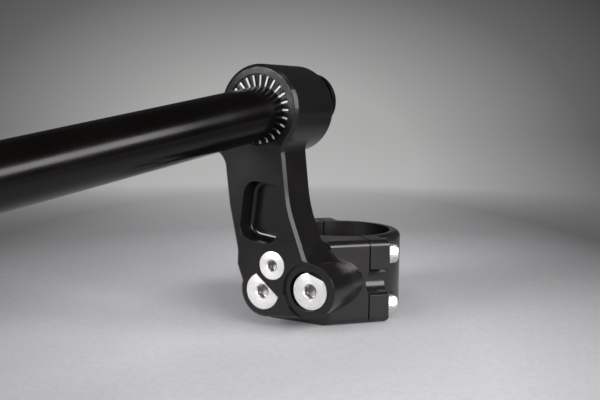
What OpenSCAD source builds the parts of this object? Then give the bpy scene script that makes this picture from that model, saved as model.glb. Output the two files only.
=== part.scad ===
// Adjustable clip-on handlebar for the right-hand fork tube of a motorcycle.
// A two-part clamp grips the fork tube, a flat riser arm is screwed to the clamp, and a
// graduated bush in the arm's boss carries the straight bar at a slant. Millimetres.
// The origin is on the fork tube's axis at half the clamp's height. +Z runs up the fork
// tube, -Y points out along the boss towards the bar, and +X points forwards.

/* [Fork clamp] */
// Diameter of the fork tube that the clamp grips
fork_d = 46; // [43:0.5:50]
// Wall of the clamp ring around the fork tube
ring_wall = 4.9; // [4:0.1:6]
// Height of the clamp along the fork tube
clamp_h = 36.5; // [34:0.5:42]
// Rounding of the clamp's upper and lower edges
clamp_edge_r = 2.7; // [1:0.1:3]
// Gap between the two halves of the clamp
split_gap = 0.5; // [0.3:0.1:1.2]
// Turn of the clamp's screws about the fork axis, from straight back
clamp_turn = 42.8; // [38:0.2:46]
// Reach of each ear beyond the ring
ear_reach = 9.2; // [8.6:0.1:11]
// Thickness of each ear along its screws
ear_t = 9.3; // [8:0.1:12]
// Distance from an ear's outer face back to its screws
ear_screw_inset = 8.3; // [7:0.1:9]
// Distance of the clamp screws from the clamp's upper and lower faces
clamp_screw_inset = 6.85; // [6.3:0.05:7.5]
// Width of the relief milled between the two front screws
relief_w = 11.4; // [8:0.2:12]
// Left edge of the pad that carries the arm, from the fork axis
pad_left = 16.5; // [14:0.5:20]
// Radius of the round foot behind the arm's outer lobe
foot_r = 10.9; // [10:0.1:11.4]
// Radius of the fillet between that foot and the clamp's front face
foot_fillet_r = 4.6; // [2:0.1:5]

/* [Riser arm] */
// Distance from the fork axis to the arm's back face
arm_offset = 38.4; // [38:0.2:42]
// Thickness of the arm
arm_t = 18.6; // [16:0.2:21]
// Chamfer round the arm's front edge
arm_chamfer = 1.3; // [0.6:0.1:1.8]
// Height of the boss axis above the middle of the clamp
boss_rise = 73.9; // [68:0.5:90]
// Distance of the boss axis to the left of the fork axis
boss_left = 10.4; // [8:0.2:13]
// Outer diameter of the boss
boss_d = 37.4; // [36:0.2:40]
// Length of the boss
boss_l = 33.4; // [31:0.2:38]
// Rounding of the boss's rear edge
boss_rear_r = 3.2; // [1:0.2:4]
// Arm's right edge at the neck, to the right of the boss axis
neck_right = 12.4; // [11:0.2:14]
// Arm's left edge at the neck, to the left of the boss axis
neck_left = 16.4; // [14:0.2:17]
// Height of the waist above the middle of the clamp
waist_rise = 34; // [31:0.5:38]
// Arm's right edge at the waist, from the fork axis
waist_right = 4.6; // [3:0.2:6]
// Arm's left edge at the waist, from the fork axis
waist_left = 24.8; // [24:0.2:28]
// Arm's left shoulder beside the lock screw, from the fork axis
shoulder_left = 20.9; // [20.6:0.1:22]
// Radius of the lobe round the tilt screw
outer_lobe_r = 11.4; // [10.6:0.1:12]
// Radius of the lobe round the flat-sided screw
inner_lobe_r = 11.1; // [10.6:0.1:12]

/* [Pocket in the arm] */
// Width of the lightening pocket
pocket_w = 18.4; // [14:0.2:20]
// Height of the lightening pocket
pocket_h = 25; // [20:0.5:27]
// Depth of the lightening pocket
pocket_depth = 8.5; // [5:0.5:11]
// Corner radius of the lightening pocket
pocket_r = 6; // [3:0.5:8]
// Rounding where the pocket's walls meet its floor
pocket_floor_r = 2.2; // [0.5:0.1:2.8]
// Height of the pocket's middle above the middle of the clamp
pocket_rise = 31.3; // [30:0.2:33]
// Pocket's middle to the left of the fork axis
pocket_left = 8.9; // [8:0.2:10]
// Lean of the pocket, along with the arm
pocket_lean = 7.5; // [4:0.5:10]

/* [Arm screws] */
// Tilt screw to the right of the fork axis
tilt_right = 14.3; // [13.6:0.1:15]
// Tilt screw above the middle of the clamp
tilt_rise = 0.2; // [-0.6:0.1:0.6]
// Flat-sided screw to the left of the fork axis
flat_left = 7.6; // [7:0.1:8]
// Flat-sided screw below the middle of the clamp
flat_drop = 1.9; // [1.6:0.1:2.4]
// Lock screw to the left of the fork axis
lock_left = 3.1; // [2.6:0.1:3.6]
// Lock screw above the middle of the clamp
lock_rise = 9.4; // [9.2:0.1:10]
// Head diameter of the two large arm screws
big_head_d = 15.6; // [14:0.1:15.8]
// Head height of the two large arm screws
big_head_h = 4.4; // [3.6:0.1:5]
// Thread diameter of the two large arm screws
big_thread_d = 8; // [6:0.5:8]
// Head diameter of the countersunk lock screw
lock_head_d = 12; // [11:0.1:12.2]
// Thread diameter of the lock screw
lock_thread_d = 6; // [5:0.5:6]
// Depth that the arm screws reach into the clamp
arm_screw_grip = 12; // [9:0.5:13]
// Distance of the flat-sided screw's flat from its axis
flat_cut = 3.5; // [3.2:0.1:5]
// Direction that the flat-sided screw's flat faces, up from forwards
flat_angle = 50; // [45:1:55]
// Distance of the small flat on the tilt screw's head from its axis
tilt_cut = 6.7; // [6.4:0.1:7.4]
// Direction that the small flat on the tilt screw faces, up from forwards
tilt_angle = 70; // [60:1:80]
// Depth of the turned step round the tilt screw
step_depth = 1.5; // [1:0.1:2]
// Radius of the turned step round the tilt screw
step_r = 11.9; // [11.7:0.1:12.4]
// Travel of the tilt screw in its slotted hole
tilt_travel = 1.3; // [0.5:0.1:2]

/* [Clamp screws] */
// Thread diameter of the four clamp screws and the two pinch bolts
clamp_thread_d = 6; // [5:0.5:6]
// Head diameter of the clamp screws and the pinch bolts
clamp_head_d = 9.9; // [8.5:0.1:10]
// Head height of the clamp screws and the pinch bolts
clamp_head_h = 6; // [5:0.1:6]
// Depth that a clamp screw reaches into the clamp body
clamp_screw_grip = 14; // [9:0.5:15]

/* [Pinch lug of the boss] */
// Height of the pinch lug's middle below the boss axis
lug_drop = 6.4; // [5:0.1:7]
// Half height of the pinch lug
lug_half_h = 11; // [10.8:0.1:12]
// Reach of the pinch lug to the left of the boss axis
lug_reach = 29.5; // [28.6:0.1:33]
// Width of the slit through the pinch lug
slit_w = 1; // [0.6:0.1:2]
// Distance of the pinch bolts to the left of the boss axis
pinch_left = 22.8; // [22.6:0.1:23.6]

/* [Graduated bush] */
// Outer diameter of the bush that turns in the boss
bush_d = 29; // [28:0.1:30]
// Depth of the bush's face below the boss's face
bush_recess = 0.6; // [0.3:0.1:1.5]
// Depth of the bar's socket along the bar
socket_depth = 13; // [9:0.5:13]
// Number of graduation marks round the bush
tick_count = 25; // [12:1:36]
// Width of one graduation mark
tick_w = 0.75; // [0.4:0.05:1]
// Depth of the paint-filled graduation marks
tick_depth = 0.3; // [0.2:0.05:0.5]
// Reach of the bush's slanted nose behind the boss, on the bar's axis
nose_reach = 5.2; // [4.4:0.1:7]

/* [Bar] */
// Outer diameter of the bar
bar_d = 22.2; // [22:0.1:22.4]
// Wall of the bar
bar_wall = 3; // [2:0.1:3.5]
// Length of the bar
bar_l = 270; // [220:5:300]
// Length of the wider bore for a bar-end weight, at the bar's outer end
end_bore_l = 30; // [20:1:40]
// Slant of the bar towards the rider, from the boss axis
bar_sweep = 10.1; // [6:0.1:11]
// Slant of the bar downwards, from the boss axis
bar_drop = 8.8; // [5:0.1:9.5]
// Bar's axis below the boss axis at the arm's face
bar_low = 1.65; // [1.2:0.05:2]
// Length of the threaded plug in the bar's root
plug_l = 24; // [18:1:32]
// Thread diameter of the bolt that draws the bar into the bush
draw_d = 8; // [6:1:8]
// Head diameter of the draw bolt
draw_head_d = 13; // [12:0.5:13.4]
// Head height of the draw bolt
draw_head_h = 5; // [4:0.5:6]

/* [Hidden] */
$fn = 96;

// Clearances
tap_gap = 0.05;       // between a screw and its threaded hole
hole_gap = 0.3;       // between a screw and its plain hole
head_gap = 0.35;      // round a sunk screw head
turn_gap = 0.03;      // between the bush and the boss
seat_gap = 0.3;       // between the bush's nose and the boss's rear face
sleeve_gap = 0.02;    // between the bar and its socket, and the plug and the bar
skin = 0.2;           // thickness of a section that a blend starts from
past = 1;             // overrun of a cut beyond the face that it opens

// Clamp
bore_r = fork_d / 2;
ring_r = bore_r + ring_wall;
ear_x = ring_r + ear_reach;
screw_x = ear_x - ear_screw_inset;
half_h = clamp_h / 2;
half_gap = split_gap / 2;
screw_z = half_h - clamp_screw_inset;
ear_edge_r = clamp_edge_r * 0.8;  // rounding of the ears' outer faces
relief_r = relief_w / 2;
relief_end_r = 9.2;   // radius of the relief's inner end
relief_end_y = -1.7;  // how far the relief runs past the split
front_n = [cos(clamp_turn), -sin(clamp_turn)];
// Where the clamp's front face meets the arm's back plane and the split
front_corner = [(ear_x - sin(clamp_turn) * arm_offset) / cos(clamp_turn), -arm_offset];
front_at_split = ear_x * front_n;
// Where the pad's left side is tangent to the ring
pad_corner = [-pad_left, -arm_offset];
pad_far = norm(pad_corner);
pad_tangent_turn = atan2(pad_corner.y, pad_corner.x) - acos(ring_r / pad_far);
pad_tangent = ring_r * [cos(pad_tangent_turn), sin(pad_tangent_turn)];

// Arm, as [x, z] points of its outline
face_y = -(arm_offset + arm_t);
boss = [-boss_left, boss_rise];
boss_r = boss_d / 2;
boss_back_y = face_y + boss_l;
tilt = [tilt_right, tilt_rise];
// Depth at which the foot has sunk into the clamp's front face
foot_back_y = (ear_x - (tilt.x + foot_r) * front_n.x) / front_n.y + past;
flat = [-flat_left, -flat_drop];
lock = [-lock_left, lock_rise];
big_head_r = big_head_d / 2;
big_r = big_thread_d / 2;
lock_r = lock_thread_d / 2;
lock_head_r = lock_head_d / 2;
clamp_r = clamp_thread_d / 2;
clamp_head_r = clamp_head_d / 2;
neck_fillet_r = 8;    // between the arm's right edge and the boss
flare_r = 8;          // between the arm's left edge and the pinch lug
waist_r = 57;         // of the arm's long curved edges
turning_step = 0.05;  // the boss is turned this much smaller than the plate's round top
pinch_y = [face_y + boss_l * 0.27, face_y + boss_l * 0.73];
tilt_head_y = face_y + step_depth;
lock_rim = 0.3;       // straight rim of the lock screw's countersunk head
// Hexagon sockets across their flats, and the depth of those in the arm screws
socket_hex_big = 5.1;
socket_hex_small = 4.1;
socket_hex_clamp = 5.1;
socket_hex_draw = 6.1;
socket_sink = 3;
hex_r = 1 / cos(30) / 2;  // corner radius of a hexagon that is 1 across its flats

// Bar: a point on its axis in the arm's face plane, and its direction into the boss
bar_point = [boss.x, face_y, boss.y - bar_low];
bar_r = bar_d / 2;
bar_bore_r = bar_r - bar_wall;
end_bore_r = bar_bore_r + 0.5;  // of the wider bore for the bar-end weight
bush_r = bush_d / 2;
bush_face_y = face_y + bush_recess;
draw_r = draw_d / 2;
draw_head_r = draw_head_d / 2;
washer_t = 1.6;
washer_gap = 0.6;       // round the washer in its counterbore
plug_back = 1;          // how far the plug sits behind the bar's root
nose_r = bar_r + 0.1;
nose_round = 1.2;
draw_head_sink = 0.6;   // of the draw bolt's head below the nose
draw_tip_short = 9;     // how far the draw bolt ends short of the plug's far end
tick_margin = 0.35;     // between the marks and the bush's rim
draw_l = nose_reach + boss_l - socket_depth + plug_l - draw_tip_short;
// Where the nose ends and where the draw bolt's head sits, along the bar
nose_back = boss_l / cos(bar_sweep) / cos(bar_drop) + nose_reach;
draw_seat = nose_back - draw_head_h - draw_head_sink;

// Points of an arc from one direction to another, in degrees
function arc(c, r, from, to, steps) =
    [for (i = [0:steps]) let (a = from + (to - from) * i / steps) c + r * [cos(a), sin(a)]];

// Points that round the corner b of the path a-b-c with radius r
function round_corner(a, b, c, r, steps = 6) =
    let (u = (a - b) / norm(a - b), v = (c - b) / norm(c - b),
         half = acos(u * v) / 2,
         centre = b + (u + v) / norm(u + v) * r / sin(half),
         p = b + u * r / tan(half), q = b + v * r / tan(half),
         from = atan2(p.y - centre.y, p.x - centre.x),
         raw = atan2(q.y - centre.y, q.x - centre.x) - from,
         sweep = raw > 180 ? raw - 360 : raw < -180 ? raw + 360 : raw)
    arc(centre, r, from, from + sweep, steps);

// A path's points moved inwards by d; the path runs anticlockwise
function inset(path, d) =
    [for (i = [0:len(path) - 1])
        let (a = path[(i + len(path) - 1) % len(path)], b = path[i], c = path[(i + 1) % len(path)],
             u = (b - a) / norm(b - a), v = (c - b) / norm(c - b),
             m = [-u.y - v.y, u.x + v.x])
        b + m * 2 * d / (m * m)];

// An outline in [x, z] raised between two depths, y_back behind y_front
module upright(y_front, y_back) {
    translate([0, y_back, 0]) rotate([90, 0, 0]) linear_extrude(y_back - y_front) children();
}

// A plate of an anticlockwise [x, z] outline, with a chamfer round its front face
module chamfered_plate(path, y_front, y_back, size) {
    n = len(path);
    over = 0.5;
    // Section of the cutter that runs round the edge, as [inset, depth]
    rim = [[size + over, -over], [-over, size + over], [-over, -over]];
    difference() {
        upright(y_front, y_back) polygon(path);
        polyhedron([for (r = rim, p = inset(path, r[0])) [p.x, y_front + r[1], p.y]],
            [for (k = [0:2], i = [0:n - 1])
                let (a = k * n, b = (k + 1) % 3 * n, j = (i + 1) % n) [a + i, b + i, b + j, a + j]]);
    }
}

// A solid of revolution about an axis along Y through [x, z], drawn as [radius, y]
module turned(at) {
    translate([at.x, 0, at.y]) rotate([-90, 0, 0]) rotate_extrude() children();
}

// A round bar along Y through [x, z] between two depths
module rod(at, r, y_front, y_back) {
    translate([at.x, y_front, at.y]) rotate([-90, 0, 0]) cylinder(r = r, h = y_back - y_front);
}

// Places children with their Z axis along the bar, pointing into the boss, s from the face
module along_bar(s = 0) {
    translate(bar_point) rotate([0, 0, -bar_sweep]) rotate([bar_drop, 0, 0]) rotate([-90, 0, 0])
        translate([0, 0, s]) children();
}

// Places children in the clamp's own frame: X to its front face, Y along its screws
module in_clamp() {
    rotate([0, 0, -clamp_turn]) children();
}

// A half-space slab of the clamp's height whose side at x = reach has edges rounded by r
module rounded_side(reach, turn, r = clamp_edge_r) {
    far = 2 * ear_x + arm_offset;
    flat_h = clamp_h - 2 * r;
    rotate([0, 0, turn]) translate([0, far / 2, 0]) rotate([90, 0, 0]) linear_extrude(far) union() {
        translate([reach - far, -half_h]) square([far - r, clamp_h]);
        translate([reach - far, -flat_h / 2]) square([far, flat_h]);
        for (s = [-1, 1]) translate([reach - r, s * flat_h / 2]) circle(r);
    }
}

// The full ring of the clamp with rounded outer edges
module ring_blank() {
    rotate_extrude() union() {
        translate([bore_r / 2, -half_h]) square([ring_r - bore_r / 2 - clamp_edge_r, clamp_h]);
        translate([bore_r / 2, clamp_edge_r - half_h])
            square([ring_r - bore_r / 2, clamp_h - 2 * clamp_edge_r]);
        for (s = [-1, 1]) translate([ring_r - clamp_edge_r, s * (half_h - clamp_edge_r)])
            circle(clamp_edge_r);
    }
}

// One ear on each side of the ring, on one side of the split; s is 1 for the cap
module ears(s) {
    in_clamp() intersection() {
        translate([-ear_x, s > 0 ? 0 : -ear_t, -half_h]) cube([2 * ear_x, ear_t, clamp_h]);
        rounded_side(ear_x, 0);
        rounded_side(ear_x, 180);
        rounded_side(ear_t, s * 90, ear_edge_r);
    }
}

// The block that joins the clamp's front ears to the pad behind the arm
module pad_block() {
    intersection() {
        translate([0, 0, -half_h]) linear_extrude(clamp_h)
            polygon([pad_corner, front_corner, front_at_split, [0, 0], pad_tangent]);
        rounded_side(ear_x, -clamp_turn);
        rounded_side(ring_r, pad_tangent_turn);
    }
}

// The round foot behind the arm's outer lobe, filleted into the clamp's front face
module pad_foot() {
    rod(tilt, foot_r, -arm_offset, foot_back_y);
    foot_fillet();
}

// The fillet round the foot. In each section through the foot's axis it is an arc that
// touches the foot and the clamp's slanted front face
module foot_fillet() {
    sections = 24;
    steps = 6;
    half_turn = 80;
    sink = 0.03;
    m = steps + 2;
    points = [for (i = [0:sections]) let (
            turn = half_turn * (2 * i / sections - 1),
            slope = atan2(-front_n.y, front_n.x * cos(turn)),
            meet_y = (ear_x - (tilt.x + foot_r * cos(turn)) * front_n.x) / front_n.y,
            start_y = meet_y - foot_fillet_r * tan(slope / 2) + sink,
            section = concat([for (j = [0:steps]) let (a = slope * j / steps)
                [foot_r - sink + foot_fillet_r * (1 - cos(a)), start_y + foot_fillet_r * sin(a)]],
                [[foot_r - past, meet_y + past]]))
        for (p = section) [tilt.x + p[0] * cos(turn), p[1], tilt.y + p[0] * sin(turn)]];
    intersection() {
        polyhedron(points, concat([[for (j = [0:m - 1]) j]],
            [[for (j = [0:m - 1]) len(points) - 1 - j]],
            [for (i = [0:sections - 1], j = [0:m - 1]) let (k = (j + 1) % m)
                [i * m + j, (i + 1) * m + j, (i + 1) * m + k, i * m + k]]));
        translate([0, -arm_offset, -half_h]) cube([2 * ear_x, ear_x, clamp_h]);
    }
}

// Round relief milled across the front ears, between the two front screws
module ear_relief() {
    in_clamp() intersection() {
        translate([ear_x, relief_end_y - past, 0]) rotate([-90, 0, 0])
            cylinder(r = relief_r, h = ear_t + past - relief_end_y + past);
        translate([0, relief_end_y + relief_end_r, 0]) rotate([0, 90, 0]) union() {
            cylinder(r = relief_end_r, h = 2 * ear_x);
            translate([-relief_end_r, 0, 0]) cube([2 * relief_end_r, 2 * ear_t, 2 * ear_x]);
        }
    }
}

// The four places of the clamp screws, at the split
module at_clamp_screws() {
    in_clamp() for (sx = [-1, 1], sz = [-1, 1]) translate([sx * screw_x, 0, sz * screw_z])
        rotate([-90, 0, 0]) children();
}

// A socket-head cap screw: its head sits above z = 0 and its shank below
module cap_screw(length) {
    head_chamfer = 0.5;
    hex_sink = clamp_head_h / 2;
    difference() {
        rotate_extrude() polygon([[0, -length], [clamp_r - tap_gap - head_chamfer, -length],
            [clamp_r - tap_gap, head_chamfer - length], [clamp_r - tap_gap, 0], [clamp_head_r, 0],
            [clamp_head_r, clamp_head_h - head_chamfer],
            [clamp_head_r - head_chamfer, clamp_head_h], [0, clamp_head_h]]);
        translate([0, 0, clamp_head_h - hex_sink])
            cylinder(r = socket_hex_clamp * hex_r, h = hex_sink + past, $fn = 6);
    }
}

// One clamp screw: sx is 1 at the front ears, sz is 1 for the upper screw
module clamp_screw(sx, sz) {
    color("silver") in_clamp() translate([sx * screw_x, ear_t, sz * screw_z]) rotate([-90, 0, 0])
        cap_screw(ear_t + clamp_screw_grip);
}

module clamp_body() {
    thread_floor = 1.5;
    color([0.09, 0.09, 0.1]) difference() {
        union() {
            intersection() {
                ring_blank();
                in_clamp() translate([-ear_x, -ear_x, -half_h]) cube([2 * ear_x, ear_x, clamp_h]);
            }
            ears(-1);
            pad_block();
            pad_foot();
        }
        in_clamp() translate([-ear_x - past, -half_gap, -half_h - past])
            cube([2 * (ear_x + past), ear_x, clamp_h + 2 * past]);
        translate([0, 0, -half_h - past]) cylinder(r = bore_r, h = clamp_h + 2 * past);
        ear_relief();
        at_clamp_screws() translate([0, 0, -clamp_screw_grip - thread_floor])
            cylinder(r = clamp_r, h = clamp_screw_grip + thread_floor + past);
        for (p = [tilt, flat]) rod(p, big_r, -arm_offset - past,
            -arm_offset + arm_screw_grip + thread_floor);
        rod(lock, lock_r, -arm_offset - past, -arm_offset + arm_screw_grip + thread_floor);
    }
}

module clamp_cap() {
    color([0.09, 0.09, 0.1]) difference() {
        union() {
            intersection() {
                ring_blank();
                in_clamp() translate([-ear_x, 0, -half_h]) cube([2 * ear_x, ear_x, clamp_h]);
            }
            ears(1);
        }
        in_clamp() translate([-ear_x - past, -ear_x, -half_h - past])
            cube([2 * (ear_x + past), ear_x + half_gap, clamp_h + 2 * past]);
        translate([0, 0, -half_h - past]) cylinder(r = bore_r, h = clamp_h + 2 * past);
        ear_relief();
        at_clamp_screws() translate([0, 0, -past]) cylinder(r = clamp_r + hole_gap, h = ear_t + 2 * past);
        // Flats that the screw heads bear on, cut back from the ring's curve
        at_clamp_screws() translate([0, 0, ear_t])
            cylinder(r = clamp_head_r + head_gap, h = ring_r);
    }
}

// Outline of the arm, anticlockwise from the left of the flat-sided screw's lobe
function arm_path() =
    let (across = tilt - flat,
         bottom = atan2(across.y, across.x) - acos((inner_lobe_r - outer_lobe_r) / norm(across)),
         // Directions in which the lobes, the boss and the flare end
         tilt_end = 96, flat_end = 163, boss_start = 174, flare_end = 75,
         // The left shoulder: its height above and below the lock screw, lean and roundings
         above_lock = 4.9, below_lock = 1.2, shoulder_lean = 0.2, shoulder_r = 10, hip_r = 5,
         flare_top = 3, waist_step = 1,
         low_r = tilt + outer_lobe_r * [cos(tilt_end), sin(tilt_end)],
         neck_x = boss.x + neck_right, waist_rt = [waist_right, waist_rise],
         fillet_c = [neck_x + neck_fillet_r, boss.y - sqrt(pow(boss_r + neck_fillet_r, 2)
             - pow(neck_right + neck_fillet_r, 2))],
         fillet_end = atan2(boss.y - fillet_c.y, boss.x - fillet_c.x),
         neck_l = [boss.x - neck_left, boss.y - lug_drop - lug_half_h - flare_r],
         waist_lt = [-waist_left, waist_rise - waist_step],
         shoulder = [shoulder_lean - shoulder_left, lock.y + above_lock],
         hip = [-shoulder_left, lock.y - below_lock],
         lobe_l = flat + inner_lobe_r * [cos(flat_end), sin(flat_end)])
    concat(
        arc(flat, inner_lobe_r, flat_end, bottom + 360, 16),
        arc(tilt, outer_lobe_r, bottom, tilt_end, 24),
        round_corner(low_r, waist_rt, [neck_x, fillet_c.y], waist_r, 6),
        arc(fillet_c, neck_fillet_r, 180, fillet_end, 6),
        arc(boss, boss_r, fillet_end - boss_start, 180, 35),
        [neck_l + [-flare_r / 2, flare_r + slit_w + flare_top]],
        arc(neck_l - [flare_r, 0], flare_r, flare_end, 0, 6),
        round_corner(neck_l, waist_lt, shoulder, waist_r, 4),
        round_corner(waist_lt, shoulder, hip, shoulder_r, 4),
        round_corner(shoulder, hip, lobe_l, hip_r, 4));

// The turned part of the boss behind the arm's plate, with a rounded rear edge
module boss_rear() {
    r = boss_r - turning_step;
    root = 2;
    turned(boss) union() {
        translate([0, -arm_offset - root]) square([r - boss_rear_r, boss_back_y + arm_offset + root]);
        translate([0, -arm_offset - root]) square([r, boss_back_y - boss_rear_r + arm_offset + root]);
        translate([r - boss_rear_r, boss_back_y - boss_rear_r]) circle(boss_rear_r);
    }
}

// The slanted web that carries the arm's edge down to the back of the outer lobe
module lobe_web() {
    inside = 0.3;       // how far the web stays inside the lobe
    top = waist_rise - 13.5;
    w = 4.2;            // width of the web's top
    back = [tilt, tilt + (outer_lobe_r - inside) * [cos(45), sin(45)], [waist_right + w, top],
        [waist_right, top]];
    // The front corners, from the tilt screw's axis and from the lobe's top
    front = [tilt, tilt + [3, outer_lobe_r - 2.2], tilt + [-1.2, outer_lobe_r + 1],
        tilt + [-4, outer_lobe_r + 1]];
    hull() {
        upright(-arm_offset - skin, -arm_offset) polygon(back);
        upright(face_y + step_depth, face_y + step_depth + skin) polygon(front);
    }
}

// A pocket cutter with rounded corners and a rounded floor, its mouth at y = 0
module pocket_cutter() {
    slabs = [[pocket_w, pocket_h - 2 * pocket_r, 0], [pocket_h, pocket_w - 2 * pocket_r, 90]];
    for (s = slabs) rotate([0, s[2], 0]) translate([0, 0, -s[1] / 2]) linear_extrude(s[1])
        pocket_profile(s[0]);
    for (sx = [-1, 1], sz = [-1, 1])
        translate([sx * (pocket_w / 2 - pocket_r), 0, sz * (pocket_h / 2 - pocket_r)])
            rotate([-90, 0, 0]) rotate_extrude() intersection() {
                pocket_profile(2 * pocket_r);
                translate([0, -past]) square([pocket_r, pocket_depth + 2 * past]);
            }
}

// Section of the pocket, w wide, open at y = 0 and with a rounded floor
module pocket_profile(w) {
    wall_y = pocket_depth - pocket_floor_r;
    translate([-w / 2, -past]) square([w, wall_y + past]);
    translate([pocket_floor_r - w / 2, -past]) square([w - 2 * pocket_floor_r, pocket_depth + past]);
    for (s = [-1, 1]) translate([s * (w / 2 - pocket_floor_r), wall_y]) circle(pocket_floor_r);
}

// The round outline of a large screw head with one flat, grown by gap
module flatted_disc(at, cut, angle, gap) {
    translate(at) rotate(angle) intersection() {
        circle(big_head_r + gap);
        translate([-2 * big_head_r, -2 * big_head_r]) square([2 * big_head_r + cut + gap, 4 * big_head_r]);
    }
}

// Space for the pinch lug's bolt, from above; y is its place along the boss
module pinch_hole(y) {
    translate([boss.x - pinch_left, y, boss.y - lug_drop]) {
        cylinder(r = clamp_r + hole_gap, h = lug_half_h + past);
        translate([0, 0, lug_half_h - clamp_head_h - hole_gap])
            cylinder(r = clamp_head_r + head_gap, h = clamp_head_h + hole_gap + past);
        translate([0, 0, -lug_half_h - past]) cylinder(r = clamp_r, h = lug_half_h + 2 * past);
    }
}

// The lug left of the boss that the pinch bolts close
module pinch_lug() {
    corner = 3;
    set_back = 1;
    low = boss.y - lug_drop - lug_half_h;
    upright(face_y + set_back, boss_back_y - set_back) union() {
        translate([boss.x - lug_reach + corner, low]) square([lug_reach - corner, 2 * lug_half_h]);
        translate([boss.x - lug_reach, low + corner]) square([lug_reach, 2 * (lug_half_h - corner)]);
        for (z = [low + corner, low + 2 * lug_half_h - corner])
            translate([boss.x - lug_reach + corner, z]) circle(corner);
    }
}

module riser_arm() {
    slot_r = big_r + hole_gap;
    color([0.1, 0.1, 0.11]) difference() {
        union() {
            chamfered_plate(arm_path(), face_y, -arm_offset, arm_chamfer);
            boss_rear();
            lobe_web();
            pinch_lug();
        }
        // The bush's bore, and the slit that lets the boss close on it
        rod(boss, bush_r + turn_gap, face_y - past, boss_back_y + past);
        translate([boss.x - lug_reach - past, face_y - past, boss.y - lug_drop - slit_w / 2])
            cube([lug_reach + past, boss_l + 2 * past, slit_w]);
        for (y = pinch_y) pinch_hole(y);
        translate([-pocket_left, face_y, pocket_rise]) rotate([0, pocket_lean, 0]) pocket_cutter();
        // Turned step and slotted hole of the tilt screw
        rod(tilt, step_r, face_y - past, face_y + step_depth);
        for (dx = [0, -tilt_travel]) {
            rod(tilt + [dx, 0], big_head_r + head_gap, face_y, tilt_head_y + big_head_h);
            rod(tilt + [dx, 0], slot_r, face_y, -arm_offset + past);
        }
        translate([tilt.x - tilt_travel, face_y, tilt.y - big_head_r - head_gap])
            cube([tilt_travel, tilt_head_y + big_head_h - face_y, 2 * (big_head_r + head_gap)]);
        translate([tilt.x - tilt_travel, face_y, tilt.y - slot_r])
            cube([tilt_travel, arm_t + past, 2 * slot_r]);
        // Flat-sided seat, which keeps its screw from turning
        upright(face_y - past, face_y + big_head_h)
            flatted_disc(flat, flat_cut, flat_angle, head_gap / 2);
        rod(flat, big_r + hole_gap, face_y, -arm_offset + past);
        // Countersunk seat of the lock screw
        turned(lock) polygon([[0, face_y - past], [lock_head_r + head_gap / 2, face_y - past],
            [lock_head_r + head_gap / 2, face_y + lock_rim],
            [lock_r + hole_gap,
                face_y + lock_head_r - lock_r + lock_rim - hole_gap + head_gap / 2],
            [lock_r + hole_gap, -arm_offset + past], [0, -arm_offset + past]]);
    }
}

// A large arm screw: a flat head with one flat, a hexagon socket and a plain shank
module big_screw(at, head_y, cut, angle) {
    edge = 0.4;
    color("gainsboro") difference() {
        union() {
            upright(head_y + edge, head_y + big_head_h) flatted_disc(at, cut, angle, 0);
            upright(head_y, head_y + edge) flatted_disc(at, cut - edge, angle, -edge / 2);
            rod(at, big_r - tap_gap, head_y + big_head_h - skin, -arm_offset + arm_screw_grip);
        }
        translate([at.x, head_y + socket_sink, at.y]) rotate([90, 30, 0])
            cylinder(r = socket_hex_big * hex_r, h = socket_sink + past, $fn = 6);
    }
}

module tilt_screw() {
    big_screw(tilt, tilt_head_y, tilt_cut, tilt_angle);
}

module flat_sided_screw() {
    big_screw(flat, face_y, flat_cut, flat_angle);
}

module lock_screw() {
    color("gainsboro") difference() {
        turned(lock) polygon([[0, face_y], [lock_head_r, face_y], [lock_head_r, face_y + lock_rim],
            [lock_r - tap_gap, face_y + lock_rim + lock_head_r - lock_r + tap_gap],
            [lock_r - tap_gap, -arm_offset + arm_screw_grip], [0, -arm_offset + arm_screw_grip]]);
        translate([lock.x, face_y + socket_sink, lock.y]) rotate([90, 30, 0])
            cylinder(r = socket_hex_small * hex_r, h = socket_sink + past, $fn = 6);
    }
}

module pinch_bolt(y) {
    seat_z = boss.y - lug_drop + lug_half_h - clamp_head_h - hole_gap;
    color("silver") translate([boss.x - pinch_left, y, seat_z])
        cap_screw(2 * lug_half_h - clamp_head_h - hole_gap - past);
}

// Space that the bar takes in the bush
module bar_socket() {
    along_bar(-bar_l / 4) cylinder(r = bar_r + sleeve_gap, h = bar_l / 4 + socket_depth);
}

// The rays of the graduation marks, as deep as the paint in them
module tick_rays() {
    for (i = [0:tick_count - 1])
        translate([boss.x, bush_face_y - past, boss.y]) rotate([0, -360 * i / tick_count, 0])
            translate([bar_bore_r, 0, -tick_w / 2])
                cube([bush_r - tick_margin - bar_bore_r, tick_depth + past, tick_w]);
}

module angle_bush() {
    color([0.07, 0.07, 0.07]) difference() {
        union() {
            rod(boss, bush_r, bush_face_y, boss_back_y + seat_gap + skin);
            intersection() {
                along_bar(boss_l - 2 * bush_r) rotate_extrude() union() {
                    square([nose_r, nose_back - boss_l + 2 * bush_r - nose_round]);
                    square([nose_r - nose_round, nose_back - boss_l + 2 * bush_r]);
                    translate([nose_r - nose_round, nose_back - boss_l + 2 * bush_r - nose_round])
                        circle(nose_round);
                }
                translate([boss.x - boss_d, boss_back_y + seat_gap, boss.y - boss_d])
                    cube(2 * boss_d);
            }
        }
        bar_socket();
        along_bar(0) cylinder(r = draw_r + hole_gap, h = nose_back + past);
        along_bar(draw_seat - washer_t)
            cylinder(r = draw_head_r + washer_gap, h = draw_head_h + draw_head_sink + washer_t + past);
        tick_rays();
    }
}

// White paint in the engraved marks, flush with the bush's face
module graduation_marks() {
    color("white") difference() {
        intersection() {
            tick_rays();
            rod(boss, bush_r, bush_face_y, bush_face_y + tick_depth);
        }
        bar_socket();
    }
}

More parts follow.
